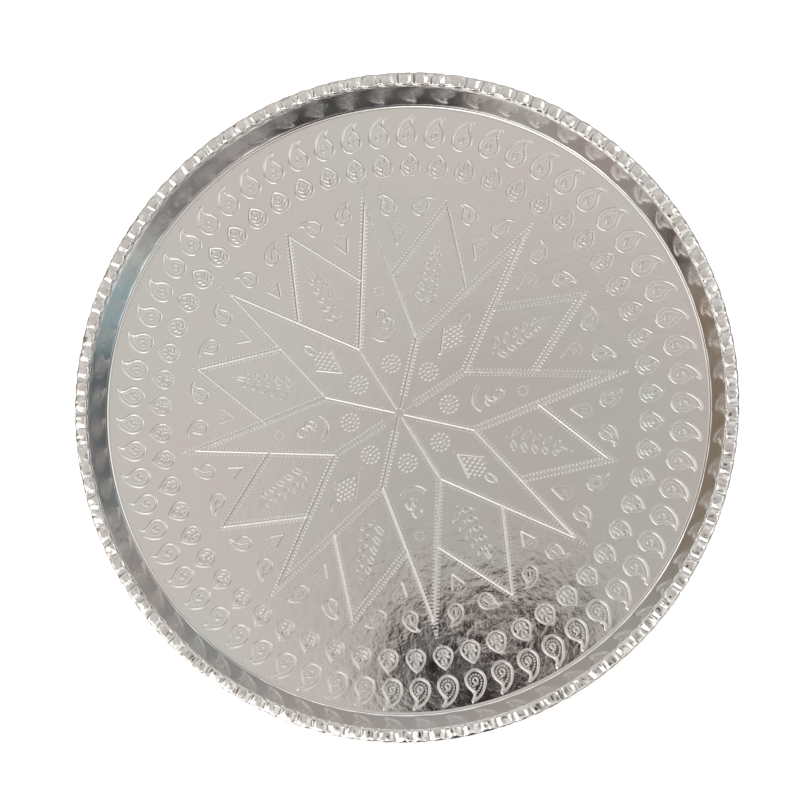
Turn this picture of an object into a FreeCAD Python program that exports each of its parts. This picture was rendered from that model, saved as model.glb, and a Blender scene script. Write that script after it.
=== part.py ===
"""Offering plate: a round pressed-metal tray with a wired edge and a fluted border.

One sheet is pressed into a flat floor and a steep wall. Its edge is turned outwards and
rolled round a stiffening wire. A fluted border strip, bent into a ring and closed with
solder, sits on the turned edge. The origin is the centre of the resting face, +Z up.
"""
import FreeCAD, Part
import math
import os

import Sketcher

Vector = FreeCAD.Vector
Constraint = Sketcher.Constraint

DIMENSIONS = {
    "floor_diameter": 281.0,  # flat floor, across the start of the corner bend
    "sheet_thickness": 0.7,  # pressed sheet
    "corner_radius": 2.0,  # inner bend from the floor to the wall
    "wall_angle": 24.0,  # lean of the wall away from upright, degrees
    "edge_height": 12.6,  # resting face to the top of the turned edge
    "shoulder_radius": 1.2,  # inner bend from the wall to the turned edge
    "ledge_width": 1.3,  # flat ledge between the shoulder bend and the roll
    "wire_diameter": 2.6,  # stiffening wire inside the roll
    "wire_clearance": 0.05,  # between the wire and the sheet rolled round it
    "wire_gap": 0.6,  # between the two ends of the wire
    "roll_wrap": 235.0,  # how far the sheet wraps the wire, degrees
    "border_width": 6.3,  # border strip, inner edge to outer edge
    "border_height": 2.6,  # border strip, ledge to crest
    "border_edge": 0.9,  # upright edge of the border strip, below its dome
    "border_overhang": 0.35,  # border strip past the wall's top, towards the centre
    "flute_count": 120,  # dents pressed across the border
    "flute_width": 3.0,  # a dent, across its mouth at the crest
    "flute_depth": 1.05,  # a dent, below the crest
    "joint_angle": 300.0,  # direction of the border's butt joint from +X, degrees
    "joint_gap": 0.8,  # between the border's two ends, filled with solder
}

# Sizes that follow from the driving ones, each an expression of the sheets' cells.
# The dome is the arc over border_width that rises from the upright edges to the crest,
# and a dent's cutter is the circle that is flute_width wide at flute_depth.
DERIVED = {
    "wall_rise": "edge_height - sheet_thickness"
                 " - (corner_radius + shoulder_radius + sheet_thickness) * (1 - sin(wall_angle))",
    "wall_top_radius": "floor_diameter / 2 + corner_radius * cos(wall_angle)"
                       " + wall_rise * tan(wall_angle)",
    "roll_radius": "wall_top_radius + (shoulder_radius + sheet_thickness) * cos(wall_angle)"
                   " + ledge_width",
    "bore_radius": "wire_diameter / 2 + wire_clearance",
    "wire_height": "edge_height - sheet_thickness - bore_radius",
    "border_inner_radius": "wall_top_radius - border_overhang",
    "border_mid_radius": "border_inner_radius + border_width / 2",
    "dome_rise": "border_height - border_edge",
    "dome_radius": "((border_width / 2) ^ 2 + dome_rise ^ 2) / (2 * dome_rise)",
    "dome_height": "edge_height + border_height - dome_radius",
    "cutter_radius": "((flute_width / 2) ^ 2 + flute_depth ^ 2) / (2 * flute_depth)",
    "cutter_orbit": "dome_radius - flute_depth + cutter_radius",
    "solder_radius": "dome_radius - flute_depth",
}


def fill_sheet(doc):
    """Put every driving size and every derived one in the spreadsheet, with its alias."""
    sheet = doc.addObject("Spreadsheet::Sheet", "Sizes")
    cells = [(alias, str(value)) for alias, value in DIMENSIONS.items()]
    cells += [(alias, "=" + formula) for alias, formula in DERIVED.items()]
    for row, (alias, content) in enumerate(cells, start=1):
        sheet.set(f"A{row}", alias)
        sheet.setAlias(f"B{row}", alias)
        sheet.set(f"B{row}", content)
    doc.recompute()
    return sheet


def new_body(doc, label):
    body = doc.addObject("PartDesign::Body", label)
    body.Label = label
    return body


def origin_feature(body, role):
    """The body's own origin plane or axis with this role, such as XZ_Plane."""
    return next(item for item in body.Origin.OriginFeatures if item.Role == role)


def new_sketch(body, name, plane_role):
    sketch = body.newObject("Sketcher::SketchObject", name)
    sketch.AttachmentSupport = [(origin_feature(body, plane_role), "")]
    sketch.MapMode = "FlatFace"
    return sketch


def bind(sketch, constraint, expression):
    """Add a dimensional constraint and tie it to the sheet."""
    index = sketch.addConstraint(constraint)
    sketch.setExpression(f"Constraints[{index}]", expression)


def line(x1, y1, x2, y2):
    return Part.LineSegment(Vector(x1, y1, 0), Vector(x2, y2, 0))


def arc(centre_x, centre_y, radius, start_degrees, end_degrees):
    circle = Part.Circle(Vector(centre_x, centre_y, 0), Vector(0, 0, 1), radius)
    return Part.ArcOfCircle(circle, math.radians(start_degrees), math.radians(end_degrees))


def revolve(body, sketch, angle_expression=None):
    """A full turn about the plate's axis, or the turn that the expression gives."""
    turn = body.newObject("PartDesign::Revolution", sketch.Name + "Turn")
    turn.Profile = sketch
    turn.ReferenceAxis = (sketch, ["V_Axis"])
    turn.Angle = 360
    if angle_expression:
        turn.setExpression("Angle", angle_expression)
    sketch.Visibility = False
    return turn


# Ends of a sketch segment, and the sketch's own origin and axes, as Sketcher numbers them.
START, END, CENTRE = 1, 2, 3
ORIGIN = (-1, 1)
VERTICAL_AXIS = -2


def make_pan(doc, size):
    """The pressed sheet: floor, corner, wall, shoulder, ledge and the roll, in one section.

    The section is drawn once round: out along the upper face, over the roll, and back
    along the lower face. Both faces of each bend share a centre.
    """
    body = new_body(doc, "pan")
    sketch = new_sketch(body, "PanSection", "XZ_Plane")
    floor = size.floor_diameter / 2
    thick = size.sheet_thickness
    lean = size.wall_angle
    top = size.edge_height
    corner_z = thick + size.corner_radius
    shoulder_x = size.roll_radius - size.ledge_width
    shoulder_z = top - thick - size.shoulder_radius
    roll_x, roll_z, bore = size.roll_radius, size.wire_height, size.bore_radius
    sine, cosine = math.sin(math.radians(lean)), math.cos(math.radians(lean))

    def on_corner(radius):
        return floor + radius * cosine, corner_z - radius * sine

    def on_shoulder(radius):
        return shoulder_x - radius * cosine, shoulder_z + radius * sine

    def on_roll(radius):
        stop = math.radians(90 - size.roll_wrap)
        return roll_x + radius * math.cos(stop), roll_z + radius * math.sin(stop)

    segments = [
        ("floor_top", line(0, thick, floor, thick)),
        ("corner_inner", arc(floor, corner_z, size.corner_radius, -90, -lean)),
        ("wall_inner", line(*on_corner(size.corner_radius),
                            *on_shoulder(size.shoulder_radius + thick))),
        ("shoulder_top", arc(shoulder_x, shoulder_z, size.shoulder_radius + thick,
                             90, 180 - lean)),
        ("ledge_top", line(shoulder_x, top, roll_x, top)),
        ("roll_outer", arc(roll_x, roll_z, bore + thick, 90 - size.roll_wrap, 90)),
        ("roll_end", line(*on_roll(bore + thick), *on_roll(bore))),
        ("roll_inner", arc(roll_x, roll_z, bore, 90 - size.roll_wrap, 90)),
        ("ledge_under", line(roll_x, top - thick, shoulder_x, top - thick)),
        ("shoulder_under", arc(shoulder_x, shoulder_z, size.shoulder_radius, 90, 180 - lean)),
        ("wall_outer", line(*on_shoulder(size.shoulder_radius),
                            *on_corner(size.corner_radius + thick))),
        ("corner_outer", arc(floor, corner_z, size.corner_radius + thick, -90, -lean)),
        ("floor_under", line(floor, 0, 0, 0)),
        ("axis", line(0, 0, 0, thick)),
    ]
    at = {name: index for index, (name, _) in enumerate(segments)}
    sketch.addGeometry([shape for _, shape in segments], False)

    joins = [
        ("Tangent", "floor_top", END, "corner_inner", START),
        ("Tangent", "corner_inner", END, "wall_inner", START),
        ("Tangent", "wall_inner", END, "shoulder_top", END),
        ("Tangent", "shoulder_top", START, "ledge_top", START),
        ("Tangent", "ledge_top", END, "roll_outer", END),
        ("Coincident", "roll_outer", START, "roll_end", START),
        ("Coincident", "roll_end", END, "roll_inner", START),
        ("Tangent", "roll_inner", END, "ledge_under", START),
        ("Tangent", "ledge_under", END, "shoulder_under", START),
        ("Tangent", "shoulder_under", END, "wall_outer", START),
        ("Tangent", "wall_outer", END, "corner_outer", END),
        ("Tangent", "corner_outer", START, "floor_under", START),
        ("Coincident", "floor_under", END, "axis", START),
        ("Coincident", "axis", END, "floor_top", START),
        ("Coincident", "corner_inner", CENTRE, "corner_outer", CENTRE),
        ("Coincident", "shoulder_top", CENTRE, "shoulder_under", CENTRE),
        ("Coincident", "roll_outer", CENTRE, "roll_inner", CENTRE),
    ]
    for kind, first, first_point, second, second_point in joins:
        sketch.addConstraint(
            Constraint(kind, at[first], first_point, at[second], second_point))
    sketch.addConstraint(Constraint("Coincident", at["axis"], START, *ORIGIN))
    for name in ("floor_top", "ledge_top", "floor_under"):
        sketch.addConstraint(Constraint("Horizontal", at[name]))
    sketch.addConstraint(Constraint("Vertical", at["axis"]))
    sketch.addConstraint(
        Constraint("PointOnObject", at["roll_outer"], CENTRE, at["roll_end"]))

    bind(sketch, Constraint("Distance", at["axis"], thick), "Sizes.sheet_thickness")
    bind(sketch, Constraint("Distance", at["floor_top"], floor), "Sizes.floor_diameter / 2")
    bind(sketch, Constraint("Radius", at["corner_inner"], size.corner_radius),
         "Sizes.corner_radius")
    bind(sketch, Constraint("Angle", at["wall_inner"], math.radians(90 - lean)),
         "90 - Sizes.wall_angle")
    bind(sketch, Constraint("Radius", at["shoulder_under"], size.shoulder_radius),
         "Sizes.shoulder_radius")
    bind(sketch, Constraint("DistanceY", *ORIGIN, at["ledge_top"], START, top),
         "Sizes.edge_height")
    bind(sketch, Constraint("Distance", at["ledge_top"], size.ledge_width),
         "Sizes.ledge_width")
    bind(sketch, Constraint("Radius", at["roll_inner"], bore), "Sizes.bore_radius")
    bind(sketch, Constraint("Angle", at["roll_inner"], math.radians(size.roll_wrap)),
         "Sizes.roll_wrap")
    revolve(body, sketch)
    return body


def make_wire(doc, size):
    """The stiffening wire: a ring with a small gap opposite the border's joint."""
    body = new_body(doc, "rim_wire")
    sketch = new_sketch(body, "WireSection", "XZ_Plane")
    centre = Vector(size.roll_radius, size.wire_height, 0)
    sketch.addGeometry(Part.Circle(centre, Vector(0, 0, 1), size.wire_diameter / 2), False)
    bind(sketch, Constraint("Radius", 0, size.wire_diameter / 2), "Sizes.wire_diameter / 2")
    bind(sketch, Constraint("DistanceX", *ORIGIN, 0, CENTRE, centre.x), "Sizes.roll_radius")
    bind(sketch, Constraint("DistanceY", *ORIGIN, 0, CENTRE, centre.y), "Sizes.wire_height")
    revolve(body, sketch, "360 - Sizes.wire_gap / Sizes.roll_radius * 180 / pi")
    body.setExpression("Placement.Rotation.Angle", "Sizes.joint_angle - 180")
    return body


def make_border(doc, size):
    """The fluted strip: a domed ring, dented all round and parted at its butt joint.

    A dent is cut by a circle swung over the dome about the dome's own centre, so it has
    one depth from the inner edge to the outer edge. The first dent holds the joint.
    """
    body = new_body(doc, "fluted_border")
    sketch = new_sketch(body, "BorderSection", "XZ_Plane")
    inner, base = size.border_inner_radius, size.edge_height
    outer, shoulder = inner + size.border_width, base + size.border_edge
    half_dome = math.degrees(math.asin(size.border_width / 2 / size.dome_radius))
    sketch.addGeometry([
        line(inner, base, outer, base),
        line(outer, base, outer, shoulder),
        arc(size.border_mid_radius, size.dome_height, size.dome_radius,
            90 - half_dome, 90 + half_dome),
        line(inner, shoulder, inner, base),
    ], False)
    bottom, outer_edge, dome, inner_edge = range(4)
    for first, first_point, second, second_point in (
            (bottom, END, outer_edge, START), (outer_edge, END, dome, START),
            (dome, END, inner_edge, START), (inner_edge, END, bottom, START)):
        sketch.addConstraint(
            Constraint("Coincident", first, first_point, second, second_point))
    sketch.addConstraint(Constraint("Horizontal", bottom))
    sketch.addConstraint(Constraint("Vertical", outer_edge))
    sketch.addConstraint(Constraint("Vertical", inner_edge))
    sketch.addConstraint(Constraint("Equal", outer_edge, inner_edge))
    bind(sketch, Constraint("DistanceX", *ORIGIN, bottom, START, inner),
         "Sizes.border_inner_radius")
    bind(sketch, Constraint("DistanceY", *ORIGIN, bottom, START, base), "Sizes.edge_height")
    bind(sketch, Constraint("Distance", bottom, size.border_width), "Sizes.border_width")
    bind(sketch, Constraint("Distance", outer_edge, size.border_edge), "Sizes.border_edge")
    bind(sketch, Constraint("Radius", dome, size.dome_radius), "Sizes.dome_radius")
    revolve(body, sketch)

    cutter = new_sketch(body, "DentSection", "YZ_Plane")
    cutter.setExpression("AttachmentOffset.Base.y", "Sizes.dome_height")
    cutter.setExpression("AttachmentOffset.Base.z", "Sizes.border_mid_radius")
    orbit = Vector(0, size.cutter_orbit, 0)
    cutter.addGeometry(Part.Circle(orbit, Vector(0, 0, 1), size.cutter_radius), False)
    cutter.addConstraint(Constraint("PointOnObject", 0, CENTRE, VERTICAL_AXIS))
    bind(cutter, Constraint("Radius", 0, size.cutter_radius), "Sizes.cutter_radius")
    bind(cutter, Constraint("DistanceY", *ORIGIN, 0, CENTRE, orbit.y), "Sizes.cutter_orbit")
    doc.recompute()
    dent = body.newObject("PartDesign::Groove", "Dent")
    dent.Profile = cutter
    dent.ReferenceAxis = (cutter, ["H_Axis"])
    dent.Angle = 360

    dents = body.newObject("PartDesign::PolarPattern", "Dents")
    dents.Originals = [dent]
    dents.Axis = (origin_feature(body, "Z_Axis"), [""])
    dents.Angle = 360
    dents.setExpression("Occurrences", "Sizes.flute_count")
    body.Tip = dents
    doc.recompute()

    parting = new_sketch(body, "JointSection", "XZ_Plane")
    crest = base + size.border_height
    parting.addGeometry([
        line(inner, base, outer, base),
        line(outer, base, outer, crest),
        line(outer, crest, inner, crest),
        line(inner, crest, inner, base),
    ], False)
    for edge in range(4):
        parting.addConstraint(Constraint("Coincident", edge, END, (edge + 1) % 4, START))
        parting.addConstraint(Constraint("Horizontal" if edge % 2 == 0 else "Vertical", edge))
    bind(parting, Constraint("DistanceX", *ORIGIN, 0, START, inner),
         "Sizes.border_inner_radius")
    bind(parting, Constraint("DistanceY", *ORIGIN, 0, START, base), "Sizes.edge_height")
    bind(parting, Constraint("Distance", 0, size.border_width), "Sizes.border_width")
    bind(parting, Constraint("Distance", 1, size.border_height), "Sizes.border_height")
    gap = body.newObject("PartDesign::Pocket", "JointGap")
    gap.Profile = parting
    gap.Midplane = True
    gap.setExpression("Length", "Sizes.joint_gap")
    body.Tip = gap
    body.setExpression("Placement.Rotation.Angle", "Sizes.joint_angle")
    return body


def make_solder(doc, size):
    """The solder that fills the border's joint, level with the bottom of the dent there."""
    body = new_body(doc, "border_solder")
    sketch = new_sketch(body, "SolderSection", "XZ_Plane")
    middle, base, radius = size.border_mid_radius, size.edge_height, size.solder_radius
    drop = base - size.dome_height
    half = math.sqrt(radius ** 2 - drop ** 2)
    start = math.degrees(math.asin(drop / radius))
    sketch.addGeometry([
        line(middle - half, base, middle + half, base),
        arc(middle, size.dome_height, radius, start, 180 - start),
    ], False)
    chord, dome = 0, 1
    sketch.addConstraint(Constraint("Coincident", chord, END, dome, START))
    sketch.addConstraint(Constraint("Coincident", dome, END, chord, START))
    sketch.addConstraint(Constraint("Horizontal", chord))
    bind(sketch, Constraint("Radius", dome, radius), "Sizes.solder_radius")
    bind(sketch, Constraint("DistanceX", *ORIGIN, dome, CENTRE, middle),
         "Sizes.border_mid_radius")
    bind(sketch, Constraint("DistanceY", *ORIGIN, dome, CENTRE, size.dome_height),
         "Sizes.dome_height")
    bind(sketch, Constraint("DistanceY", *ORIGIN, chord, START, base), "Sizes.edge_height")
    fill = body.newObject("PartDesign::Pad", "Fill")
    fill.Profile = sketch
    fill.Midplane = True
    fill.setExpression("Length", "Sizes.joint_gap")
    body.setExpression("Placement.Rotation.Angle", "Sizes.joint_angle")
    return body


def check(doc, bodies):
    """Stop if any object failed or any piece isn't one valid solid."""
    for item in doc.Objects:
        if "Invalid" in item.State or "Error" in item.State:
            raise RuntimeError(f"{item.Name} failed: {item.State}")
    for body in bodies:
        shape = body.Shape
        if shape.isNull() or not shape.isValid() or len(shape.Solids) != 1:
            raise RuntimeError(f"{body.Label} is not one valid solid")
        print(f"{body.Label}: {shape.Volume:.1f} mm3, {len(shape.Faces)} faces")


def main():
    doc = FreeCAD.newDocument("OfferingPlate")
    size = fill_sheet(doc)
    bodies = [make(doc, size) for make in (make_pan, make_wire, make_border, make_solder)]
    doc.recompute()
    check(doc, bodies)
    os.makedirs("parts", exist_ok=True)
    for body in bodies:
        body.Shape.exportStep(f"parts/{body.Label}.step")


main()
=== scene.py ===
"""Pressed silver-finish tray with a fluted border: the looks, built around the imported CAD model.

Lengths are in millimetres, and meshes are scaled to metres as they are made. Materials, the
camera, the lamps and the studio floor are in metres. Bearings are in degrees, counter-clockwise
from +X seen from above.
"""
import math
import random

import bpy
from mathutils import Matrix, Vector, kdtree, noise
from mathutils.geometry import delaunay_2d_cdt


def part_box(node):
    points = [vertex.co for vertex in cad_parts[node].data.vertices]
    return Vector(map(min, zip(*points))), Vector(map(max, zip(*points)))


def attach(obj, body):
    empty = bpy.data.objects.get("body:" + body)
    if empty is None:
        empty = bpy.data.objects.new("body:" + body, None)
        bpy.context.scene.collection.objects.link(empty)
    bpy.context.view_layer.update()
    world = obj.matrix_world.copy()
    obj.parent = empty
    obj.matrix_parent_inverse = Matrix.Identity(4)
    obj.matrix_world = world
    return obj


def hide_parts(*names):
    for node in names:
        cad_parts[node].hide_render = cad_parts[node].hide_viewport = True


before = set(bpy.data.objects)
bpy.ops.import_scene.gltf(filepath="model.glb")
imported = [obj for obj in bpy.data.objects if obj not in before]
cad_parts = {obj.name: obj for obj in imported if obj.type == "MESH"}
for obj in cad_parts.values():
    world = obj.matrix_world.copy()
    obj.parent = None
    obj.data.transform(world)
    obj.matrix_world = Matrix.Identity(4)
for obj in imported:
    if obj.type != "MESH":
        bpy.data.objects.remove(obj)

MM = 0.001
FULL_TURN = 2 * math.pi
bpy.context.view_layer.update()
draw = random.Random(549)

# ------------------------------------------------ the sheet, with the CAD model's own sizes
PAN_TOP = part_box("pan")[1].z / MM
PAN_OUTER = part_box("pan")[1].x / MM
SHEET = 0.7
FLOOR_RADIUS = 140.5
CORNER_RADIUS = 2.0
WALL_ANGLE = math.radians(24)
SHOULDER_RADIUS = 1.2
LEDGE_WIDTH = 1.3
BORE_RADIUS = 1.35           # the bore of the roll: the wire's radius and its clearance
ROLL_WRAP = math.radians(235)
ROLL_RADIUS = PAN_OUTER - BORE_RADIUS - SHEET
ROLL_HEIGHT = PAN_TOP - SHEET - BORE_RADIUS

# ------------------------------------------------ the fluted border, with the CAD model's sizes
BORDER_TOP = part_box("fluted_border")[1].z / MM
BORDER_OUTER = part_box("fluted_border")[1].x / MM
BORDER_WIDTH = 6.3
BORDER_EDGE = 0.9
FLUTES = 120
JOINT_BEARING = 300
JOINT_GAP = 0.8

# ------------------------------------------------ the pressed pattern
PATTERN_CENTRE = Vector((0.34, -1.04))
FIRST_ARM = 99.53
FIRST_BUD = FIRST_ARM + 0.8
FIRST_PAISLEY = FIRST_ARM + 0.7
ARMS = 8
ARM_STEP = 360 / ARMS
TIP_RADIUS = 99.5
MINOR_TIP_RADIUS = 99.3
VALLEY_RADIUS = 35.7
SHOULDER_AT = 64.0
RIDGE_HALF = 0.64
RIDGE_HEIGHT = 0.26
DOT_RADIUS = 0.64
DOT_HEIGHT = 0.27
TICK_HALF = 0.46
TICK_HEIGHT = 0.19
TICK_LENGTH = 0.6
TICK_PITCH = 1.65
COMB_OFFSET = 1.28
STROKE_STEP = 0.75
PAISLEYS = 62
PAISLEY_RING = 131.0
BUDS = 56
BUD_RING = 115.6
SMALL_SEED = 0.76
STAR_BAND = 109.3
BUD_BAND = 122.2

# ------------------------------------------------ how the meshes are divided
FLOOR_GRID = 3.0             # between the floor's plain points
FLOOR_CLEAR = 1.1            # from a crest to the nearest plain point
BAND_MARGIN = 0.5            # from a band's edge to the nearest point in it
RIM_MARGIN = 0.7             # the same at the floor's outer edge
MERGE_WITHIN = 0.03          # points nearer than this become one
CREST_REACH = 2.0            # no stroke reaches further from its crest's points
RIM_STEPS = 480
UNDERSIDE_RINGS = 34
CORNER_STEPS = 6
SHOULDER_STEPS = 5
WALL_STEPS = 8
ROLL_STEPS = 22

# ------------------------------------------------ unevenness of the thin metal
SWELL_LENGTH = 46
SWELL_HEIGHT = 0.14
RIPPLE_LENGTH = 15
RIPPLE_HEIGHT = 0.03
WALL_WAVE_ROUND = 16
WALL_WAVE_UP = 14
WALL_WAVE_DEPTH = 0.08

# Crinkled places: where, fully crinkled within, gone beyond (metres), and how strongly.
CRUMPLES = [((-0.014, 0.103, 0.0), 0.006, 0.026, 0.3), ((0.046, -0.1, 0.0), 0.01, 0.034, 0.3)]


# ================================================ drawing in the plane
def spread(start, end, step):
    """Points from start to end, at most step apart."""
    start, end = Vector(start), Vector(end)
    count = max(1, math.ceil((end - start).length / step))
    return [start.lerp(end, i / count) for i in range(count + 1)]


def polyline(corners, step=STROKE_STEP):
    """Straight runs through the corners."""
    points = [Vector(corners[0])]
    for start, end in zip(corners, corners[1:]):
        points += spread(start, end, step)[1:]
    return points


def smooth(knots, closed=False, step=STROKE_STEP):
    """A Catmull-Rom curve through the knots."""
    knots = [Vector(k) for k in knots]
    count = len(knots)
    runs = count if closed else count - 1

    def knot(i):
        return knots[i % count] if closed else knots[min(max(i, 0), count - 1)]

    points = []
    for i in range(runs):
        before, start, end, after = knot(i - 1), knot(i), knot(i + 1), knot(i + 2)
        pieces = max(1, round((end - start).length / step))
        for j in range(pieces):
            t = j / pieces
            points.append(0.5 * (2 * start + (end - before) * t
                                 + (2 * before - 5 * start + 4 * end - after) * t ** 2
                                 + (3 * start - before - 3 * end + after) * t ** 3))
    return points if closed else points + [knots[-1]]


def arc(centre, radius, first, last, step=STROKE_STEP):
    """An arc from the first angle to the last, in degrees; 0 is across, 90 is outward."""
    count = max(2, math.ceil(abs(math.radians(last - first)) * radius / step))
    angles = [math.radians(first + (last - first) * i / count) for i in range(count + 1)]
    return [Vector((centre[0] + radius * math.cos(a), centre[1] + radius * math.sin(a))) for a in angles]


def circle_dots(centre, radius, count, start=0.0):
    """Evenly spaced places round a circle."""
    angles = [FULL_TURN * i / count + math.radians(start) for i in range(count)]
    return [Vector((centre[0] + radius * math.cos(a), centre[1] + radius * math.sin(a))) for a in angles]


def ellipse(centre, length, width, lean, step=STROKE_STEP):
    """A closed ellipse whose long axis leans from across towards outward, in degrees."""
    count = max(8, math.ceil(math.pi * (length + width) / 2 / step))
    cos_l, sin_l = math.cos(math.radians(lean)), math.sin(math.radians(lean))
    points = []
    for i in range(count):
        a = FULL_TURN * i / count
        along, side = math.cos(a) * length / 2, math.sin(a) * width / 2
        points.append(Vector((centre[0] + along * cos_l - side * sin_l,
                              centre[1] + along * sin_l + side * cos_l)))
    return points


def shrink(points, about, share):
    """The points drawn in towards a place, to a share of their distance from it."""
    return [Vector(about) + (p - Vector(about)) * share for p in points]


def spaced(points, pitch):
    """Places along a closed outline, about a pitch apart."""
    lengths = [(points[(i + 1) % len(points)] - p).length for i, p in enumerate(points)]
    count = round(sum(lengths) / pitch)
    places, travelled, index = [], 0.0, 0
    for i in range(count):
        target = sum(lengths) * i / count
        while travelled + lengths[index] < target:
            travelled += lengths[index]
            index += 1
        share = (target - travelled) / lengths[index]
        places.append(points[index].lerp(points[(index + 1) % len(points)], share))
    return places


def flipped(points):
    """The points mirrored from side to side."""
    return [Vector((-p[0], p[1])) for p in points]


def stamp(radius, bearing, turn=0.0, mirror=False, size=1.0):
    """Maps a motif's own (across, outward) to the tray. Across and turn run clockwise seen from above."""
    angle = math.radians(bearing)
    outward = Vector((math.cos(angle), math.sin(angle)))
    across = Vector((outward.y, -outward.x))
    cos_t, sin_t = math.cos(math.radians(turn)), math.sin(math.radians(turn))

    def put(point):
        u = point[0] * size * (-1 if mirror else 1)
        v = point[1] * size
        return (PATTERN_CENTRE + outward * (radius + v * cos_t - u * sin_t)
                + across * (u * cos_t + v * sin_t))

    return put


# ================================================ the relief
class Relief:
    """Raised strokes on the floor: a stroke is a crest line, or one point for a dot."""

    def __init__(self):
        self.strokes = []

    def ridge(self, put, points, closed=False, half=RIDGE_HALF, height=RIDGE_HEIGHT):
        self.strokes.append(([put(p) for p in points], closed, half, height))

    def dots(self, put, places, radius=DOT_RADIUS, height=DOT_HEIGHT):
        for place in places:
            self.strokes.append(([put(place)], False, radius, height))

    def mesh_points(self):
        """Crest, flank and foot points of each stroke."""
        points = []
        for crest, closed, half, _ in self.strokes:
            if len(crest) == 1:
                points.append(crest[0])
                points += circle_dots(crest[0], half * 0.5, 5)
                points += circle_dots(crest[0], half, 8)
                continue
            for i, here in enumerate(crest):
                back = crest[i - 1] if closed or i else here
                on = crest[(i + 1) % len(crest)] if closed or i + 1 < len(crest) else here
                along = (on - back).normalized()
                side = Vector((-along.y, along.x))
                points += [here + side * half * share for share in (-1, -0.5, 0, 0.5, 1)]
                if not closed and i in (0, len(crest) - 1):
                    away = -along if i == 0 else along
                    points += [here + away * half, here + away * half * 0.5]
                    points += [here + (away + side * s) * half * 0.71 for s in (-1, 1)]
        return points

    def finder(self):
        """A search tree over the crest points, and for each of them its segments."""
        stations = []
        for crest, closed, half, height in self.strokes:
            for i, here in enumerate(crest):
                ends = [crest[j % len(crest)] for j in (i - 1, i + 1)
                        if closed or 0 <= j < len(crest)]
                stations.append((here, ends, half, height))
        tree = kdtree.KDTree(len(stations))
        for i, (here, *_) in enumerate(stations):
            tree.insert((here.x, here.y, 0.0), i)
        tree.balance()
        return tree, stations


def nearest_on(point, start, end):
    """The place nearest to a point on a straight run."""
    run = end - start
    share = max(0.0, min(1.0, (point - start).dot(run) / max(run.length_squared, 1e-12)))
    return start + run * share


def relief_at(point, tree, stations):
    """Height of the relief at a place, and its slope."""
    best, slope = 0.0, Vector((0.0, 0.0))
    for _, index, distance in tree.find_n((point.x, point.y, 0.0), 4):
        if distance > CREST_REACH:
            break
        here, ends, half, height = stations[index]
        feet = [here] + [nearest_on(point, here, end) for end in ends]
        foot = min(feet, key=lambda f: (f - point).length)
        away = point - foot
        share = away.length / half
        if share >= 1.0:
            continue
        rise = height * (1 - share ** 2) ** 2
        if rise > best:
            best = rise
            slope = away * (-4 * height * (1 - share ** 2) / half ** 2)
    return best, slope


def waviness(x, y):
    """How far the thin floor bulges up: broad swells and smaller ripples, none at its edge."""
    swell = (noise.noise(Vector((x / SWELL_LENGTH, y / SWELL_LENGTH, 3.7))) + 1) * SWELL_HEIGHT
    ripple = (noise.noise(Vector((x / RIPPLE_LENGTH, y / RIPPLE_LENGTH, 8.1))) + 1) * RIPPLE_HEIGHT
    return (swell + ripple) * (1 - min(1.0, math.hypot(x, y) / FLOOR_RADIUS) ** 8)


def waviness_slope(x, y, step=0.5):
    """The slope of the waviness along x and y."""
    return Vector(((waviness(x + step, y) - waviness(x - step, y)) / (2 * step),
                   (waviness(x, y + step) - waviness(x, y - step)) / (2 * step)))


# ================================================ the motifs
def seed_outline():
    """A seed shape with its bulb inward and its tail curling clockwise."""
    return smooth([(3.9, 6.7), (1.7, 6.3), (-0.9, 4.6), (-3.1, 1.9), (-4.3, -1.2), (-3.9, -4.2),
                   (-2.3, -6.2), (-0.1, -6.9), (2.3, -6.3), (4.1, -4.4), (4.5, -1.7), (3.7, 0.5),
                   (2.6, 2.4), (2.2, 4.1), (2.8, 5.5)], closed=True)


def paisley(relief, put):
    """The outer ring's seed: an outline, a row of beads inside it and a small seed at its heart."""
    outline = seed_outline()
    relief.ridge(put, outline, closed=True, half=0.7)
    relief.dots(put, spaced(shrink(outline, (0.3, -1.5), 0.62), 1.3), radius=0.52)
    relief.ridge(put, shrink(outline, (0.2, -2.2), 0.24), closed=True, half=0.52)


def small_paisley(relief, put):
    """The seed by the star's tips: an outline, a stem and beads."""
    outline = seed_outline()
    relief.ridge(put, outline, closed=True, half=0.62)
    relief.dots(put, spaced(shrink(outline, (0.3, -1.6), 0.58), 1.7), radius=0.55)
    relief.ridge(put, smooth([(0.9, 2.4), (-0.1, -0.2), (0.2, -3.6)]), half=0.52)


def bud(relief, put):
    """A pointed dome with a leaf, two pairs of leaflets on a stem, and beads under it."""
    side = smooth([(2.3, -4.7), (4.0, -2.7), (4.1, 0.0), (2.5, 2.9), (0.0, 5.3)])
    relief.ridge(put, side)
    relief.ridge(put, flipped(side))
    relief.ridge(put, smooth([(0.0, 3.4), (-1.2, 1.7), (0.0, -0.2), (1.2, 1.7)], closed=True), half=0.5)
    relief.ridge(put, spread((0.0, -0.6), (0.0, -3.9), STROKE_STEP), half=0.5)
    for reach, low, high in ((2.4, -1.5, 0.1), (2.3, -3.5, -2.0)):
        leaflet = smooth([(0.5, low), (1.6, low + 0.4), (reach, high)])
        relief.ridge(put, leaflet)
        relief.ridge(put, flipped(leaflet))
    relief.dots(put, [(-1.3, -5.0), (0.0, -5.3), (1.3, -5.0)])


def rosette(relief, put):
    """A big bead in two rings of smaller ones."""
    relief.dots(put, [(0.0, 0.0)], radius=0.85)
    relief.dots(put, circle_dots((0, 0), 2.1, 7), radius=0.7)
    relief.dots(put, circle_dots((0, 0), 4.0, 12, start=15), radius=0.78)


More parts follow.
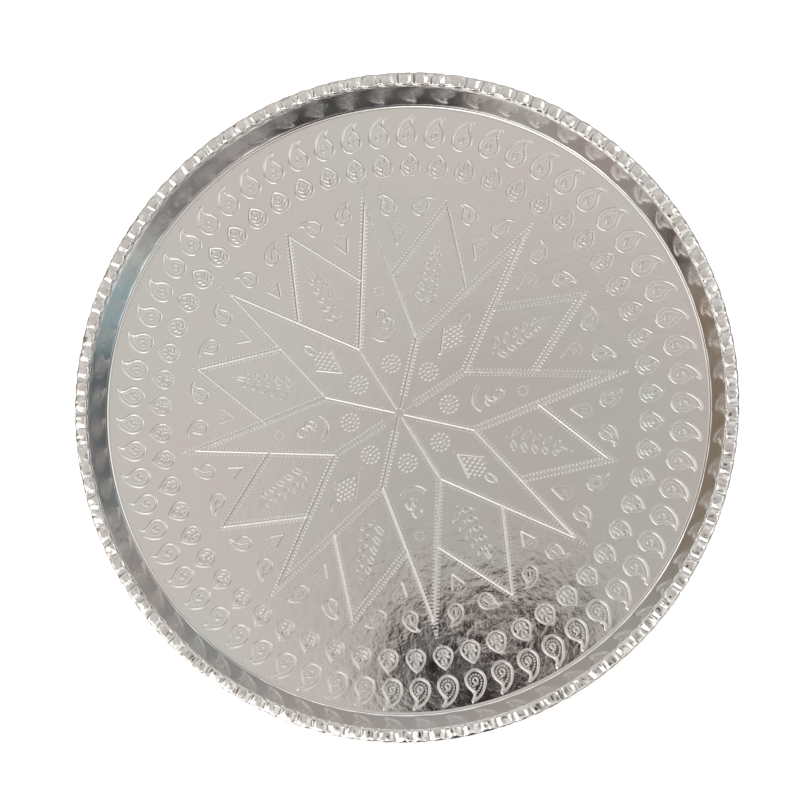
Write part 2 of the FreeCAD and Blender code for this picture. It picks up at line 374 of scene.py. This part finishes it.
def comma_arm(relief, put):
    """What fills every other arm: a small ring, a comma of curled strokes, and a smiling crescent."""
    relief.dots(put, circle_dots((0, 58), 2.1, 8), radius=0.6)
    relief.ridge(put, arc((-0.6, 47.0), 2.2, -60, 200))
    relief.ridge(put, smooth([(1.4, 46.2), (2.2, 44.2), (1.2, 42.0), (-0.9, 40.8)]))
    relief.ridge(put, arc((1.6, 42.6), 2.4, -110, 130))
    relief.ridge(put, arc((-0.4, 42.6), 1.1, -100, 90), half=0.5)
    relief.ridge(put, arc((-0.3, 41.5), 7.2, 215, 325))
    relief.dots(put, circle_dots((-0.3, 41.5), 5.4, 24)[14:23], radius=0.5)


def kite_arm(relief, put):
    """What fills the other arms: a bud over a cluster of beads, held in a V."""
    relief.ridge(put, smooth([(0.0, 55.4), (-1.5, 52.6), (-1.2, 50.2),
                              (0.0, 49.2), (1.2, 50.2), (1.5, 52.6)], closed=True))
    relief.ridge(put, polyline([(-5.9, 43.8), (0.0, 33.2), (5.9, 43.8)]))
    bead_pitch = 1.95
    for row, count in ((47.4, 3), (45.4, 4), (43.4, 5), (41.2, 4), (39.0, 3), (37.0, 1)):
        beads = [((i - (count - 1) / 2) * bead_pitch, row) for i in range(count)]
        relief.dots(put, beads, radius=0.8)
    relief.dots(put, [(-4.3, 46.2), (4.3, 46.2), (0.0, 31.2)], radius=0.6)


def sprig(relief, put):
    """A stem of paired leaves that fills a rhombus."""
    tiers = 5
    for tier in range(tiers):
        share = tier / (tiers - 1)
        height = 53.6 + 19.6 * share
        length = 5.4 - 1.9 * share
        lean = 34 + 14 * share
        reach = 0.9 + length / 2 * math.cos(math.radians(lean))
        leaf = ellipse((reach, height + length / 2 * math.sin(math.radians(lean))), length, 2.0, lean)
        relief.ridge(put, leaf, closed=True, half=0.52)
        relief.ridge(put, flipped(leaf), closed=True, half=0.52)
    for across in (-0.8, 0.8):
        relief.ridge(put, spread((across, 76.2), (across * 0.7, 79.4), STROKE_STEP), half=0.52)
    relief.dots(put, [(0.0, 51.2), (0.0, 81.6)], radius=0.6)


def drop(relief, put):
    """The small kite between an arm and a rhombus: a V with a beaded round top and a flower in it."""
    relief.ridge(put, polyline([(-3.2, 1.0), (0.0, -5.4), (3.2, 1.0)]))
    relief.dots(put, arc((0, 1.4), 3.2, 0, 180, step=1.3), radius=0.5)
    relief.dots(put, circle_dots((0, 1.2), 1.1, 4, start=45), radius=0.55)


def comb(relief, put, start, end, side, lead, trail):
    """A row of short ticks beside a straight edge, whose ends lead and trail draw in."""
    start, end = Vector(start), Vector(end)
    along = (end - start).normalized()
    beside = Vector((along.y, -along.x)) * side
    length = (end - start).length - lead - trail
    count = int(length / TICK_PITCH)
    for i in range(count + 1):
        middle = start + along * (lead + i * length / count) + beside * COMB_OFFSET
        half = beside.normalized() * TICK_LENGTH / 2
        relief.ridge(put, [middle - half, middle + half], half=TICK_HALF, height=TICK_HEIGHT)


def railed(relief, put, start, end, leads, trails):
    """A solid edge between two combs: leads and trails are the clockwise comb's and the other's."""
    relief.ridge(put, polyline([start, end]), half=0.7)
    for side, lead, trail in zip((1, -1), leads, trails):
        comb(relief, put, start, end, side, lead, trail)


def star(relief):
    """Eight long arms and the rhombi between them, with what fills them."""
    half_step = math.radians(ARM_STEP / 2)
    valley = Vector((math.sin(half_step), math.cos(half_step))) * VALLEY_RADIUS
    lean = valley.x / (TIP_RADIUS - valley.y)
    shoulder = Vector((lean * (TIP_RADIUS - SHOULDER_AT), SHOULDER_AT))
    minor_tip = Vector((math.sin(half_step), math.cos(half_step))) * MINOR_TIP_RADIUS
    tip = Vector((0.0, TIP_RADIUS))
    meet = COMB_OFFSET / math.sin(math.atan(lean))
    for arm in range(ARMS):
        bearing = FIRST_ARM + arm * ARM_STEP
        put = stamp(0.0, bearing)
        other = stamp(0.0, bearing, mirror=True)
        for place in (put, other):
            railed(relief, place, tip, shoulder, leads=(meet, -meet), trails=(0.6, 1.4))
            railed(relief, place, shoulder, valley, leads=(0.6, 0.8), trails=(0.8, 1.8))
            railed(relief, place, minor_tip, shoulder, leads=(-2.6, 3.4), trails=(2.4, 1.2))
        railed(relief, put, valley, (0.9, 2.2), leads=(1.6, 1.6), trails=(6.5, 6.5))
        (kite_arm if arm % 2 else comma_arm)(relief, put)
        rosette(relief, stamp(23.5, bearing))
        sprig(relief, stamp(0.0, bearing + ARM_STEP / 2))
        for side in (-1, 1):
            drop(relief, stamp(84.0, bearing + 9.3 * side, turn=-8.5 * side))
            by_arm = stamp(97.6, bearing + 6.3 * side, turn=12 * side, mirror=side < 0,
                           size=SMALL_SEED)
            by_rhombus = stamp(97.4, bearing + ARM_STEP / 2 + 6.6 * side, turn=34 * side,
                               mirror=side < 0, size=SMALL_SEED)
            small_paisley(relief, by_arm)
            small_paisley(relief, by_rhombus)


# ================================================ meshes
def make_piece(name, vertices, faces, material, node):
    """A smooth-shaded mesh piece, from millimetres, that rides on the tray's one body."""
    mesh = bpy.data.meshes.new(name)
    mesh.from_pydata([Vector(v) * MM for v in vertices], [], faces)
    mesh.validate()
    mesh.polygons.foreach_set("use_smooth", [True] * len(mesh.polygons))
    mesh.materials.append(material)
    piece = bpy.data.objects.new(name, mesh)
    bpy.context.scene.collection.objects.link(piece)
    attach(piece, "root")
    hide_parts(node)
    return piece


def ring(radius, centre=(0.0, 0.0)):
    """A round of points, as many as the rim has steps."""
    return circle_dots(centre, radius, RIM_STEPS)


def floor_band(name, relief, inner, outer, material):
    """One ring of the floor's upper skin, with its relief; outer None is the floor's own edge."""
    tree, stations = relief.finder()
    edge = ring(outer, PATTERN_CENTRE) if outer else ring(FLOOR_RADIUS)
    points = list(edge)
    if inner:
        points += ring(inner, PATTERN_CENTRE)

    def inside(point):
        from_pattern = (point - PATTERN_CENTRE).length
        if from_pattern < inner + BAND_MARGIN:
            return False
        if outer:
            return from_pattern < outer - BAND_MARGIN
        return point.length < FLOOR_RADIUS - RIM_MARGIN

    points += [p for p in relief.mesh_points() if inside(p)]
    cells = math.ceil(FLOOR_RADIUS / FLOOR_GRID)
    for column in range(-cells, cells + 1):
        for row in range(-cells, cells + 1):
            point = Vector(((column + 0.5 * (row % 2)) * FLOOR_GRID, row * FLOOR_GRID * 0.866))
            if inside(point) and tree.find((point.x, point.y, 0.0))[2] > FLOOR_CLEAR:
                points.append(point)
    flat, _, faces, *_ = delaunay_2d_cdt(points, [], [], 0, MERGE_WITHIN, False)
    kept = []
    for face in faces:
        middle = sum((flat[i] for i in face), Vector((0.0, 0.0))) / len(face)
        if (middle - PATTERN_CENTRE).length > inner * math.cos(math.pi / RIM_STEPS):
            kept.append(face)
    vertices, normals = [], []
    for point in flat:
        rise, slope = relief_at(point, tree, stations)
        slope = slope + waviness_slope(point.x, point.y)
        vertices.append((point.x, point.y, SHEET + waviness(point.x, point.y) + rise))
        normals.append(Vector((-slope.x, -slope.y, 1.0)).normalized())
    piece = make_piece(name, vertices, kept, material, "pan")
    piece.data.normals_split_custom_set_from_vertices(normals)


def turned_arc(centre, radius, first, last, count):
    """An arc of the section, in a set number of steps; 0 degrees is outward, 90 is up."""
    return [(centre[0] + radius * math.cos(math.radians(first + (last - first) * i / count)),
             centre[1] + radius * math.sin(math.radians(first + (last - first) * i / count)))
            for i in range(count + 1)]


def pan_section():
    """The sheet's section past the floor, as (radius, height).

    It runs up the wall and round the outside of the roll, then back along the sheet's other side.
    """
    lean = math.degrees(WALL_ANGLE)
    wrap = math.degrees(ROLL_WRAP)
    corner = (FLOOR_RADIUS, SHEET + CORNER_RADIUS)
    shoulder = (ROLL_RADIUS - LEDGE_WIDTH, PAN_TOP - SHEET - SHOULDER_RADIUS)
    roll = (ROLL_RADIUS, ROLL_HEIGHT)
    dish_side = turned_arc(corner, CORNER_RADIUS, -90, -lean, CORNER_STEPS)
    shoulder_top = turned_arc(shoulder, SHOULDER_RADIUS + SHEET, 180 - lean, 90, CORNER_STEPS)
    foot, head = dish_side[-1], shoulder_top[0]
    for i in range(1, WALL_STEPS):
        dish_side.append((foot[0] + (head[0] - foot[0]) * i / WALL_STEPS,
                          foot[1] + (head[1] - foot[1]) * i / WALL_STEPS))
    dish_side += shoulder_top
    dish_side += turned_arc(roll, BORE_RADIUS + SHEET, 90, 90 - wrap, ROLL_STEPS)
    underside = turned_arc(roll, BORE_RADIUS, 90 - wrap, 90, ROLL_STEPS)
    underside += turned_arc(shoulder, SHOULDER_RADIUS, 90, 180 - lean, SHOULDER_STEPS)
    underside += turned_arc(corner, CORNER_RADIUS + SHEET, -lean, -90, CORNER_STEPS)
    return dish_side + underside


def wall_ripple(angle, radius, height):
    """Small radial unevenness of the drawn wall, none at its foot and head."""
    share = (height - SHEET - CORNER_RADIUS) / (PAN_TOP - 2 * SHEET - CORNER_RADIUS)
    if not 0 < share < 1 or radius > ROLL_RADIUS - LEDGE_WIDTH:
        return 0.0
    place = Vector((radius * math.cos(angle) / WALL_WAVE_ROUND,
                    radius * math.sin(angle) / WALL_WAVE_ROUND, height / WALL_WAVE_UP))
    return noise.noise(place) * WALL_WAVE_DEPTH * math.sin(math.pi * share)


def pan_wall(material):
    """Everything outside the floor's upper skin: wall, ledge, roll, and the underside to the centre."""
    section = pan_section()
    vertices, faces = [], []
    for step in range(RIM_STEPS):
        angle = FULL_TURN * step / RIM_STEPS
        for radius, height in section:
            out = radius + wall_ripple(angle, radius, height)
            vertices.append((out * math.cos(angle), out * math.sin(angle), height))
    count = len(section)
    for step in range(RIM_STEPS):
        here, there = step * count, (step + 1) % RIM_STEPS * count
        for i in range(count - 1):
            faces.append((here + i, there + i, there + i + 1, here + i + 1))
    last_ring = [step * count + count - 1 for step in range(RIM_STEPS)]
    for level in range(1, UNDERSIDE_RINGS):
        radius = FLOOR_RADIUS * (1 - level / UNDERSIDE_RINGS)
        this_ring = []
        for step in range(RIM_STEPS):
            angle = FULL_TURN * step / RIM_STEPS
            x, y = radius * math.cos(angle), radius * math.sin(angle)
            this_ring.append(len(vertices))
            vertices.append((x, y, waviness(x, y)))
        for step in range(RIM_STEPS):
            on = (step + 1) % RIM_STEPS
            faces.append((last_ring[step], last_ring[on], this_ring[on], this_ring[step]))
        last_ring = this_ring
    centre = len(vertices)
    vertices.append((0.0, 0.0, waviness(0.0, 0.0)))
    for step in range(RIM_STEPS):
        faces.append((last_ring[step], last_ring[(step + 1) % RIM_STEPS], centre))
    make_piece("pan_wall", vertices, faces, material, "pan")


# ------------------------------------------------ the border
STEPS_A_FLUTE = 14
SECTION_STEPS = 14
DOME_RISE = BORDER_TOP - PAN_TOP - BORDER_EDGE
SQUARE_ACROSS = 0.55         # powers that square the dome's section off; 1 leaves it round
SQUARE_UP = 0.5
DENT_TOP = 0.76              # a dent's rise, as a share of a lobe's
DENT_EDGE = 0.7              # a dent's upright edge, as a share of a lobe's
DENT_OUTSIDE = 0.18          # how far a dent draws the outer edge in
DENT_FADE = 0.25             # how much fuller a dent is towards the outer edge
DENT_HALF = 0.32             # how far from its middle a dent reaches, in flutes
LOBE_DIP = 0.15              # how much less full a flute is at its ends than in its middle
SCALLOP = 0.75               # how far the inner edge draws back between lobes
HAMMERING = 0.26             # how deep its marks are
HAMMER_MARK = 1.5            # how large they are
UNEVEN_HEIGHT = 0.06         # how much lower a lobe may be, as a share
UNEVEN_LEAN = 0.12           # how much it may tip in or out
UNEVEN_SHIFT = 0.03          # how far it may lie off its place, in flutes


def eased(low, high, value):
    """A smooth step from 0 at low to 1 at high."""
    share = max(0.0, min(1.0, (value - low) / (high - low)))
    return share * share * (3 - 2 * share)


def border_section(full, scallop, height, lean):
    """The strip's closed section where it is this full, 0 at a dent's floor and 1 on a lobe."""
    outer = BORDER_OUTER - DENT_OUTSIDE * (1 - full)
    inner = BORDER_OUTER - BORDER_WIDTH + SCALLOP * scallop
    rise = DOME_RISE * (DENT_TOP + (1 - DENT_TOP) * full) * height
    edge = BORDER_EDGE * (DENT_EDGE + (1 - DENT_EDGE) * full)
    middle, half = (outer + inner) / 2, (outer - inner) / 2
    section = [(inner, PAN_TOP)]
    for i in range(SECTION_STEPS + 1):
        angle = math.pi * (1 - i / SECTION_STEPS)
        across = math.copysign(abs(math.cos(angle)) ** SQUARE_ACROSS, math.cos(angle))
        up = math.sin(angle) ** SQUARE_UP
        filled = 1 + DENT_FADE * (1 - full) * max(0.0, across)
        tilted = 1 + lean * across - abs(lean)
        section.append((middle + half * across, PAN_TOP + edge + rise * up * filled * tilted))
    section.append((outer, PAN_TOP))
    return section


def fluted_border(material):
    """The pressed strip: smooth lobes with pinched dents between, uneven by the joint."""
    gap = math.degrees(JOINT_GAP / 2 / BORDER_OUTER)
    steps = FLUTES * STEPS_A_FLUTE
    pitch = 360 / FLUTES
    heights = [1 - UNEVEN_HEIGHT * draw.random() for _ in range(FLUTES)]
    leans = [draw.uniform(-UNEVEN_LEAN, UNEVEN_LEAN) for _ in range(FLUTES)]
    shifts = [draw.uniform(-UNEVEN_SHIFT, UNEVEN_SHIFT) for _ in range(FLUTES)]
    beside_joint = (0, 1, FLUTES - 2, FLUTES - 1)
    for lobe in beside_joint:
        heights[lobe] -= draw.uniform(0.05, 0.22)
        leans[lobe] += draw.uniform(-0.12, 0.12)
        shifts[lobe] += draw.uniform(-0.12, 0.12)
    vertices, faces = [], []
    for step in range(steps + 1):
        turn = min(max(360 * step / steps, gap), 360 - gap)
        lobe = min(int(turn / pitch), FLUTES - 1)
        along = turn / pitch - lobe
        along += shifts[lobe] * math.sin(math.pi * along)
        full = eased(0.0, DENT_HALF, min(along, 1 - along))
        scallop = (2 * along - 1) ** 2
        angle = math.radians(JOINT_BEARING + turn)
        section = border_section(full * (1 - LOBE_DIP * scallop), scallop,
                                 1 + (heights[lobe] - 1) * full, leans[lobe] * full)
        for radius, height in section:
            if height > PAN_TOP + BORDER_EDGE:
                place = Vector((radius * math.cos(angle), radius * math.sin(angle), 0.0))
                height -= HAMMERING * (0.5 + noise.noise(place / HAMMER_MARK))
            vertices.append((radius * math.cos(angle), radius * math.sin(angle), height))
    count = len(vertices) // (steps + 1)
    for step in range(steps):
        here, there = step * count, (step + 1) * count
        for i in range(count):
            on = (i + 1) % count
            faces.append((here + i, here + on, there + on, there + i))
    faces.append(tuple(range(count)))
    faces.append(tuple(steps * count + i for i in reversed(range(count))))
    make_piece("border_lobes", vertices, faces, material, "fluted_border")


def solder_bead(material):
    """A lumpy bead of solder filling the border's joint."""
    low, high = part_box("border_solder")
    middle = (low + high) / 2 / MM
    half_width = (BORDER_WIDTH - DENT_OUTSIDE - SCALLOP) / 2 * 0.98
    half_length = JOINT_GAP * 0.62
    half_height = (high.z - low.z) / 2 / MM
    lumpiness = 0.14
    lump_scale = 2.3
    angle = math.radians(JOINT_BEARING)
    outward = Vector((math.cos(angle), math.sin(angle), 0))
    along = Vector((-math.sin(angle), math.cos(angle), 0))
    rows, columns = 12, 24
    vertices, faces = [], []
    for row in range(rows + 1):
        polar = math.pi * row / rows
        for column in range(columns):
            azimuth = FULL_TURN * column / columns
            unit = Vector((math.sin(polar) * math.cos(azimuth), math.sin(polar) * math.sin(azimuth),
                           math.cos(polar)))
            place = unit * (1 + lumpiness * noise.noise(unit * lump_scale))
            vertices.append(middle + outward * place.x * half_width + along * place.y * half_length
                            + Vector((0, 0, max(-1.0, place.z) * half_height)))
    for row in range(rows):
        for column in range(columns):
            on = (column + 1) % columns
            faces.append((row * columns + column, (row + 1) * columns + column,
                          (row + 1) * columns + on, row * columns + on))
    make_piece("solder_bead", vertices, faces, material, "border_solder")


# ================================================ materials
def new_material(name, metallic=1.0):
    """A material, its node tree and its shader."""
    material = bpy.data.materials.new(name)
    material.use_nodes = True
    shader = material.node_tree.nodes["Principled BSDF"]
    shader.inputs["Metallic"].default_value = metallic
    return material, material.node_tree, shader


def noise_node(tree, scale, detail, distortion=0.0):
    """Noise over the object's own coordinates, with its scale in turns a metre."""
    coords = tree.nodes.new("ShaderNodeTexCoord")
    texture = tree.nodes.new("ShaderNodeTexNoise")
    texture.inputs["Scale"].default_value = scale
    texture.inputs["Detail"].default_value = detail
    texture.inputs["Distortion"].default_value = distortion
    tree.links.new(coords.outputs["Object"], texture.inputs["Vector"])
    return texture.outputs["Fac"]


def ramp_node(tree, source, stops):
    """A colour ramp from (position, colour) stops."""
    ramp = tree.nodes.new("ShaderNodeValToRGB")
    elements = ramp.color_ramp.elements
    while len(elements) < len(stops):
        elements.new(0.5)
    for element, (position, colour) in zip(elements, stops):
        element.position = position
        element.color = (*colour, 1.0)
    tree.links.new(source, ramp.inputs["Fac"])
    return ramp.outputs["Color"]


def range_node(tree, source, low, high, start=0.3, stop=0.7):
    """Maps a value's usual range to low..high."""
    mapped = tree.nodes.new("ShaderNodeMapRange")
    for socket, value in (("From Min", start), ("From Max", stop), ("To Min", low), ("To Max", high)):
        mapped.inputs[socket].default_value = value
    tree.links.new(source, mapped.inputs["Value"])
    return mapped.outputs["Result"]


def bump_node(tree, shader, layers):
    """Stacks bumps on a shader: each layer is (height source, strength, distance in metres)."""
    normal = None
    for source, strength, distance in layers:
        bump = tree.nodes.new("ShaderNodeBump")
        bump.inputs["Strength"].default_value = strength
        bump.inputs["Distance"].default_value = distance
        tree.links.new(source, bump.inputs["Height"])
        if normal:
            tree.links.new(normal, bump.inputs["Normal"])
        normal = bump.outputs["Normal"]
    tree.links.new(normal, shader.inputs["Normal"])


def near_node(tree, place, inner, outer):
    """1 within the inner distance of a place, 0 beyond the outer one; all in metres."""
    coords = tree.nodes.new("ShaderNodeTexCoord")
    gap = tree.nodes.new("ShaderNodeVectorMath")
    gap.operation = "DISTANCE"
    gap.inputs[1].default_value = place
    tree.links.new(coords.outputs["Object"], gap.inputs[0])
    return range_node(tree, gap.outputs["Value"], 1.0, 0.0, inner, outer)


def product_node(tree, first, second):
    """The product of two values."""
    multiply = tree.nodes.new("ShaderNodeMath")
    multiply.operation = "MULTIPLY"
    tree.links.new(first, multiply.inputs[0])
    tree.links.new(second, multiply.inputs[1])
    return multiply.outputs["Value"]


def sheet_silver(name, blur, swell, crinkle, grain, crumples=()):
    """Bright silvery sheet: faint warm and cool patches, smudges, and the crinkle of thin metal."""
    material, tree, shader = new_material(name)
    tint = ramp_node(tree, noise_node(tree, 16, 2.0, 0.6),
                     [(0.36, (0.86, 0.815, 0.80)), (0.5, (0.85, 0.83, 0.815)),
                      (0.64, (0.83, 0.845, 0.82))])
    tree.links.new(tint, shader.inputs["Base Color"])
    smudges = range_node(tree, noise_node(tree, 70, 4.0), blur * 0.65, blur * 1.35)
    tree.links.new(smudges, shader.inputs["Roughness"])
    layers = [(noise_node(tree, 60, 2.0, 0.5), swell, 0.0008),
              (noise_node(tree, 340, 3.0, 0.4), crinkle, 0.0002),
              (noise_node(tree, 900, 3.0), grain, 0.00006)]
    for place, inner, outer, strength in crumples:
        ruck = product_node(tree, noise_node(tree, 230, 5.0, 0.4),
                            near_node(tree, place, inner, outer))
        layers.append((ruck, strength, 0.0009))
    bump_node(tree, shader, layers)
    return material


def border_silver():
    """The border's brighter metal, a little worn and smudged."""
    material, tree, shader = new_material("border_silver")
    tint = ramp_node(tree, noise_node(tree, 130, 3.0),
                     [(0.35, (0.84, 0.81, 0.78)), (0.65, (0.9, 0.9, 0.89))])
    tree.links.new(tint, shader.inputs["Base Color"])
    tree.links.new(range_node(tree, noise_node(tree, 210, 3.0), 0.06, 0.15), shader.inputs["Roughness"])
    bump_node(tree, shader, [(noise_node(tree, 330, 3.0, 0.8), 0.3, 0.00025)])
    return material


def drawn_wire():
    """Plain drawn steel wire, duller, with fine lines."""
    material, tree, shader = new_material("drawn_wire")
    tint = ramp_node(tree, noise_node(tree, 240, 4.0),
                     [(0.35, (0.46, 0.45, 0.44)), (0.65, (0.6, 0.59, 0.57))])
    tree.links.new(tint, shader.inputs["Base Color"])
    tree.links.new(range_node(tree, noise_node(tree, 400, 3.0), 0.28, 0.42), shader.inputs["Roughness"])
    bump_node(tree, shader, [(noise_node(tree, 900, 3.0), 0.3, 0.00008)])
    return material


def dull_solder():
    """Grey solder, matt in patches."""
    material, tree, shader = new_material("dull_solder")
    tint = ramp_node(tree, noise_node(tree, 500, 3.0),
                     [(0.35, (0.5, 0.49, 0.48)), (0.65, (0.68, 0.67, 0.65))])
    tree.links.new(tint, shader.inputs["Base Color"])
    tree.links.new(range_node(tree, noise_node(tree, 700, 3.0), 0.25, 0.5), shader.inputs["Roughness"])
    bump_node(tree, shader, [(noise_node(tree, 900, 3.0), 0.4, 0.0001)])
    return material


def studio_paper():
    """Plain pale paper that glows a little."""
    material, tree, shader = new_material("studio_paper", metallic=0.0)
    tint = ramp_node(tree, noise_node(tree, 3, 2.0),
                     [(0.3, (0.93, 0.93, 0.93)), (0.7, (0.96, 0.96, 0.96))])
    tree.links.new(tint, shader.inputs["Base Color"])
    shader.inputs["Roughness"].default_value = 0.8
    shader.inputs["Emission Color"].default_value = (1.0, 1.0, 1.0, 1.0)
    shader.inputs["Emission Strength"].default_value = 0.3
    return material


# ================================================ studio
def studio_floor():
    """A wide plain sheet of paper."""
    mesh = bpy.data.meshes.new("studio_floor")
    reach = 12.0
    corners = [(-reach, -reach, 0), (reach, -reach, 0), (reach, reach, 0), (-reach, reach, 0)]
    mesh.from_pydata(corners, [], [(0, 1, 2, 3)])
    mesh.materials.append(studio_paper())
    floor = bpy.data.objects.new("studio_floor", mesh)
    bpy.context.scene.collection.objects.link(floor)


def sky_patch(tree, direction, inner, outer):
    """1 within the inner angle of a direction, fading to 0 at the outer one, in degrees."""
    coords = tree.nodes.new("ShaderNodeTexCoord")
    dot = tree.nodes.new("ShaderNodeVectorMath")
    dot.operation = "DOT_PRODUCT"
    dot.inputs[1].default_value = Vector(direction).normalized()
    tree.links.new(coords.outputs["Generated"], dot.inputs[0])
    soft = tree.nodes.new("ShaderNodeMapRange")
    soft.interpolation_type = "SMOOTHSTEP"
    soft.inputs["From Min"].default_value = math.cos(math.radians(outer))
    soft.inputs["From Max"].default_value = math.cos(math.radians(inner))
    tree.links.new(dot.outputs["Value"], soft.inputs["Value"])
    return soft.outputs["Result"]


def aim(bearing, elevation):
    """The direction at a bearing and a height above the horizon."""
    b, e = math.radians(bearing), math.radians(elevation)
    return (math.cos(b) * math.cos(e), math.sin(b) * math.cos(e), math.sin(e))


# Soft round patches of sky, each laid over those before it: its middle, the angles from there
# at which it starts to fade and is gone, in degrees, and its colour.
BASE_SKY = (1.5, 1.48, 1.45)
SKY_PATCHES = [
    (aim(30, 0), 28, 50, (0.6, 0.6, 0.6)),
    (aim(0, 90), 70, 80, (0.42, 0.41, 0.40)),
    (aim(6, 20), 14, 26, (0.14, 0.15, 0.16)),
    (aim(55, 24), 12, 24, (0.33, 0.33, 0.32)),
    (aim(173, 33), 14, 28, (0.26, 0.212, 0.157)),
    (aim(214, 28), 8, 20, (0.38, 0.33, 0.31)),
    (aim(200, 33), 2, 8, (0.08, 0.06, 0.05)),
    (aim(312, 18), 8, 18, (0.24, 0.24, 0.24)),
    (aim(342, 19), 4, 12, (0.34, 0.46, 0.52)),
    (aim(270, 25), 17, 27, (0.06, 0.06, 0.06)),
    (aim(0, 90), 32, 40, (0.88, 0.86, 0.84)),
    (aim(100, 51), 6, 15, (0.60, 0.57, 0.57)),
    (aim(195, 54), 8, 17, (1.4, 1.4, 1.4)),
    (aim(237, 54), 10, 19, (1.7, 1.68, 1.65)),
    (aim(25, 62), 6, 14, (1.5, 1.48, 1.45)),
    (aim(142, 83), 19, 26, (0.63, 0.595, 0.565)),
    (aim(0, 90), 3, 17, (0.51, 0.48, 0.455)),
    (aim(240, 82.4), 3.0, 5.4, (0.01, 0.005, 0.005)),
    (aim(253, 83.7), 2.2, 4.8, (0.01, 0.005, 0.005)),
    (aim(55, 6), 4, 7, (1.8, 1.8, 1.8)),
    (aim(222, 6), 5, 9, (3.2, 3.2, 3.2)),
    (aim(150, 6), 4, 9, (2.4, 2.5, 2.6)),
]


def studio_sky():
    """Soft surroundings for the metal to reflect; the camera itself sees a plain white backdrop."""
    world = bpy.data.worlds.new("studio")
    bpy.context.scene.world = world
    world.use_nodes = True
    tree = world.node_tree
    socket = None
    for direction, inner, outer, colour in SKY_PATCHES:
        mix = tree.nodes.new("ShaderNodeMix")
        mix.data_type = "RGBA"
        tree.links.new(sky_patch(tree, direction, inner, outer), mix.inputs["Factor"])
        if socket:
            tree.links.new(socket, mix.inputs["A"])
        else:
            mix.inputs["A"].default_value = (*BASE_SKY, 1.0)
        mix.inputs["B"].default_value = (*colour, 1.0)
        socket = mix.outputs["Result"]
    seen = tree.nodes.new("ShaderNodeMix")
    seen.data_type = "RGBA"
    seen.inputs["B"].default_value = (1.0, 1.0, 1.0, 1.0)
    path = tree.nodes.new("ShaderNodeLightPath")
    tree.links.new(path.outputs["Is Camera Ray"], seen.inputs["Factor"])
    tree.links.new(socket, seen.inputs["A"])
    tree.links.new(seen.outputs["Result"], tree.nodes["Background"].inputs["Color"])


def studio_lamp(name, bearing, elevation, distance, size, power):
    """A square soft lamp aimed at the tray, which the metal doesn't mirror."""
    lamp = bpy.data.lights.new(name, "AREA")
    lamp.size = size
    lamp.energy = power
    light = bpy.data.objects.new(name, lamp)
    light.location = Vector(aim(bearing, elevation)) * distance
    light.rotation_euler = (-light.location).to_track_quat("-Z", "Y").to_euler()
    light.visible_camera = False
    light.visible_glossy = False
    bpy.context.scene.collection.objects.link(light)


def studio_camera():
    """Held over the tray, a little to its right and front, looking almost straight down."""
    camera = bpy.data.cameras.new("camera")
    camera.sensor_width = 36
    camera.lens = 54
    camera.shift_y = 0.175
    holder = bpy.data.objects.new("camera", camera)
    holder.location = (0.0751, -0.0580, 0.5549)
    holder.rotation_euler = (math.radians(-0.219), math.radians(7.658), 0.0)
    bpy.context.scene.collection.objects.link(holder)
    bpy.context.scene.camera = holder


# ================================================ the tray
def dress_node(node, material):
    """Gives a CAD node that stays its finished material."""
    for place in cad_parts[node].material_slots:
        place.material = material


studio_camera()
studio_floor()
studio_sky()
studio_lamp("key_lamp", bearing=58, elevation=50, distance=1.6, size=1.0, power=12)
studio_lamp("fill_lamp", bearing=215, elevation=38, distance=1.8, size=0.9, power=7)

silver = sheet_silver("floor_silver", blur=0.1, swell=0.12, crinkle=0.26, grain=0.1,
                      crumples=CRUMPLES)
star_relief, bud_relief, paisley_relief = Relief(), Relief(), Relief()
star(star_relief)
for i in range(BUDS):
    bud(bud_relief, stamp(BUD_RING, FIRST_BUD + i * 360 / BUDS))
for i in range(PAISLEYS):
    paisley(paisley_relief, stamp(PAISLEY_RING, FIRST_PAISLEY + i * 360 / PAISLEYS))
floor_band("floor_star", star_relief, 0.0, STAR_BAND, silver)
floor_band("floor_buds", bud_relief, STAR_BAND, BUD_BAND, silver)
floor_band("floor_paisleys", paisley_relief, BUD_BAND, None, silver)
pan_wall(sheet_silver("wall_silver", blur=0.17, swell=0.14, crinkle=0.04, grain=0.03))
fluted_border(border_silver())
solder_bead(dull_solder())
dress_node("rim_wire", drawn_wire())

bpy.context.scene.view_settings.view_transform = "Standard"
